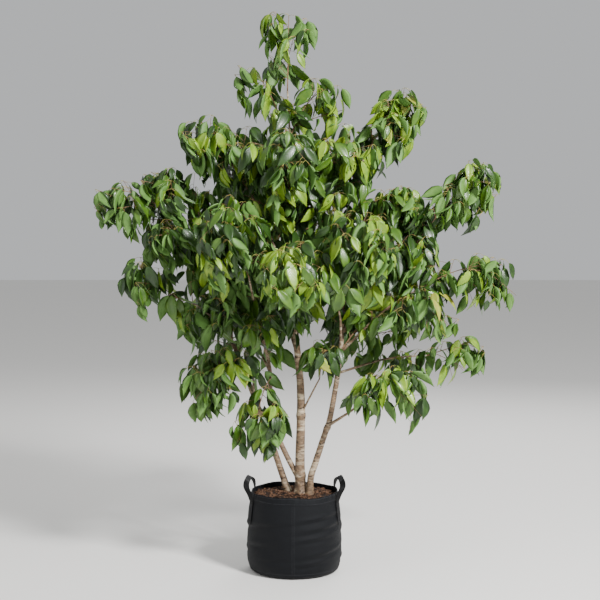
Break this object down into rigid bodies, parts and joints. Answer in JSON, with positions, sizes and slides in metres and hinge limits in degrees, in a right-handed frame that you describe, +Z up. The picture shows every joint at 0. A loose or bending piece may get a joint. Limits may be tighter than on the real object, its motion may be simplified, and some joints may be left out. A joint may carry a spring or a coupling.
{
  "type": "cherry tree in grow bag",
  "caption": "Young multi-stemmed cherry tree with long glossy hanging leaves, growing in a round black fabric grow bag with strap handles.",
  "frame": {"origin": "centre of the flat underside of the grow bag", "axes": "+Z up along the tree, +X to the right and +Y to the back as the tree is seen from its front"},
  "size_m": [1.8149, 1.3224, 2.416],
  "materials": {
    "black_fabric": "matt black non-woven grow-bag felt",
    "black_webbing": "black woven webbing",
    "bark_compost": "matt reddish-brown bark compost",
    "cherry_bark": "golden grey-brown bark with fine bands",
    "leaf_green": "glossy green leaves"
  },
  "bodies": {
    "root": {"bag": "black_fabric", "bough_back_left": "cherry_bark", "bough_back_low": "cherry_bark", "bough_back_right": "cherry_bark", "bough_front": "cherry_bark", "bough_front_left": "cherry_bark", "bough_front_right": "cherry_bark", "bough_hanging": "cherry_bark", "bough_left_high": "cherry_bark", "bough_left_lower": "cherry_bark", "bough_low_left": "cherry_bark", "bough_right_low": "cherry_bark", "bough_right_lower": "cherry_bark", "bough_right_mid": "cherry_bark", "bough_right_upper": "cherry_bark", "foliage_back_high": "leaf_green", "foliage_back_left": "leaf_green", "foliage_back_low": "leaf_green", "foliage_back_middle": "leaf_green", "foliage_back_right": "leaf_green", "foliage_far_left": "leaf_green", "foliage_far_left_low": "leaf_green", "foliage_far_left_top": "leaf_green", "foliage_front": "leaf_green", "foliage_front_left": "leaf_green", "foliage_front_low": "leaf_green", "foliage_front_right": "leaf_green", "foliage_hanging": "leaf_green", "foliage_left_high": "leaf_green", "foliage_left_inner": "leaf_green", "foliage_left_lower": "leaf_green", "foliage_left_middle": "leaf_green", "foliage_left_shoulder": "leaf_green", "foliage_low_left": "leaf_green", "foliage_right_heart": "leaf_green", "foliage_right_high": "leaf_green", "foliage_right_inner": "leaf_green", "foliage_right_low": "leaf_green", "foliage_right_lower": "leaf_green", "foliage_right_mid": "leaf_green", "foliage_right_middle": "leaf_green", "foliage_right_shoulder": "leaf_green", "foliage_right_under": "leaf_green", "foliage_right_upper": "leaf_green", "foliage_spur": "leaf_green", "foliage_top": "leaf_green", "foliage_top_left": "leaf_green", "foliage_top_right": "leaf_green", "foliage_upper_back": "leaf_green", "foliage_upper_front": "leaf_green", "handle_left": "black_webbing", "handle_right": "black_webbing", "soil": "bark_compost", "spur_trunk": "cherry_bark", "stem_left_inner": "cherry_bark", "stem_left_outer": "cherry_bark", "stem_right": "cherry_bark", "trunk": "cherry_bark"}
  },
  "joints": []
}
